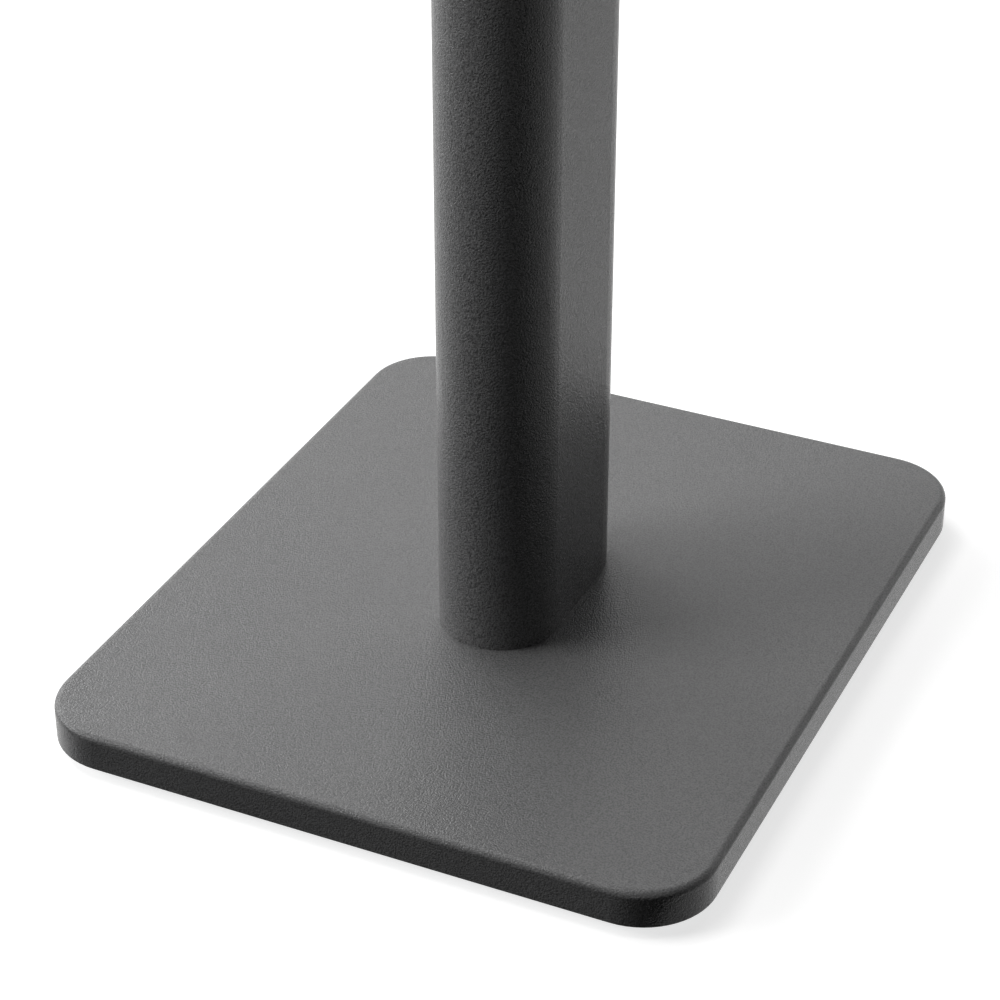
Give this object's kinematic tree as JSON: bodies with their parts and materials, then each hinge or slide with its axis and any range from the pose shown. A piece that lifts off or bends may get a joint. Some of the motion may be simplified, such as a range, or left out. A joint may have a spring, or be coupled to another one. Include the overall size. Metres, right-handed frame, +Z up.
{
  "type": "speaker stand",
  "caption": "Floor stand for a bookshelf speaker: low rectangular ballasted base with round corners, flat-oval hollow column with a cable duct, and a swivelling top plate.",
  "frame": {"origin": "on the floor, below the middle of the base", "axes": "+Z up, +X to the stand's right seen from the front, +Y to its back"},
  "size_m": [0.25, 0.298, 0.671],
  "materials": {
    "powder_coated_steel": "fine textured powder coat, near black",
    "powder_coated_aluminium": "fine textured powder coat, near black",
    "ballast_steel": "phosphated steel plate",
    "zinc_plated_steel": "zinc plated",
    "black_oxide_steel": "black oxide",
    "turned_steel": "turned, lightly oiled",
    "spring_steel": "hardened spring steel",
    "bearing_bronze": "sintered bronze",
    "white_acetal": "moulded acetal",
    "black_plastic": "moulded, satin",
    "black_rubber": "moulded rubber",
    "damping_sheet": "bitumen damping sheet"
  },
  "bodies": {
    "stand": {"base_cover": "powder_coated_steel", "damping_sheet": "damping_sheet", "ballast_plate": "ballast_steel", "cover_studs": "zinc_plated_steel", "cover_nuts": "zinc_plated_steel", "column_bolts": "black_oxide_steel", "column": "powder_coated_aluminium", "lower_chamber_plug": "black_plastic", "upper_chamber_plug": "black_plastic", "lower_cable_bush": "black_rubber", "upper_cable_bush": "black_rubber", "column_cap": "powder_coated_aluminium", "cap_screws": "black_oxide_steel", "spindle_bush": "bearing_bronze", "slide_ring": "white_acetal", "stop_pin": "zinc_plated_steel"},
    "platform": {"swivel_hub": "turned_steel", "thrust_washer": "zinc_plated_steel", "disc_springs": "spring_steel", "retaining_ring": "spring_steel", "hub_screws": "black_oxide_steel", "top_plate": "powder_coated_steel", "top_pads": "black_rubber"},
    "front_left_pad": {"front_left_pad": "black_rubber"},
    "front_left_stud": {"front_left_stud": "zinc_plated_steel"},
    "front_right_pad": {"front_right_pad": "black_rubber"},
    "front_right_stud": {"front_right_stud": "zinc_plated_steel"},
    "rear_left_pad": {"rear_left_pad": "black_rubber"},
    "rear_left_stud": {"rear_left_stud": "zinc_plated_steel"},
    "rear_right_pad": {"rear_right_pad": "black_rubber"},
    "rear_right_stud": {"rear_right_stud": "zinc_plated_steel"}
  },
  "joints": [
    {"name": "platform_swivel", "type": "hinge", "parent": "stand", "child": "platform", "pos_m": [0, 0, 0.658], "axis": [0, 0, 1], "range_deg": [-15, 15]},
    {"name": "front_left_lift", "type": "slide", "parent": "stand", "child": "front_left_pad", "axis": [0, 0, -1], "range_m": [0, 0.004]},
    {"name": "front_left_turn", "type": "hinge", "parent": "front_left_pad", "child": "front_left_stud", "pos_m": [-0.095, -0.119, 0.004], "axis": [0, 0, -1], "range_deg": [0, 1150]},
    {"name": "front_right_lift", "type": "slide", "parent": "stand", "child": "front_right_pad", "axis": [0, 0, -1], "range_m": [0, 0.004]},
    {"name": "front_right_turn", "type": "hinge", "parent": "front_right_pad", "child": "front_right_stud", "pos_m": [0.095, -0.119, 0.004], "axis": [0, 0, -1], "range_deg": [0, 1150]},
    {"name": "rear_left_lift", "type": "slide", "parent": "stand", "child": "rear_left_pad", "axis": [0, 0, -1], "range_m": [0, 0.004]},
    {"name": "rear_left_turn", "type": "hinge", "parent": "rear_left_pad", "child": "rear_left_stud", "pos_m": [-0.095, 0.119, 0.004], "axis": [0, 0, -1], "range_deg": [0, 1150]},
    {"name": "rear_right_lift", "type": "slide", "parent": "stand", "child": "rear_right_pad", "axis": [0, 0, -1], "range_m": [0, 0.004]},
    {"name": "rear_right_turn", "type": "hinge", "parent": "rear_right_pad", "child": "rear_right_stud", "pos_m": [0.095, 0.119, 0.004], "axis": [0, 0, -1], "range_deg": [0, 1150]}
  ],
  "couplings": [
    {"joint": "front_left_lift", "follows": "front_left_turn", "m_per_rad": 0.00019894},
    {"joint": "front_right_lift", "follows": "front_right_turn", "m_per_rad": 0.00019894},
    {"joint": "rear_left_lift", "follows": "rear_left_turn", "m_per_rad": 0.00019894},
    {"joint": "rear_right_lift", "follows": "rear_right_turn", "m_per_rad": 0.00019894}
  ]
}
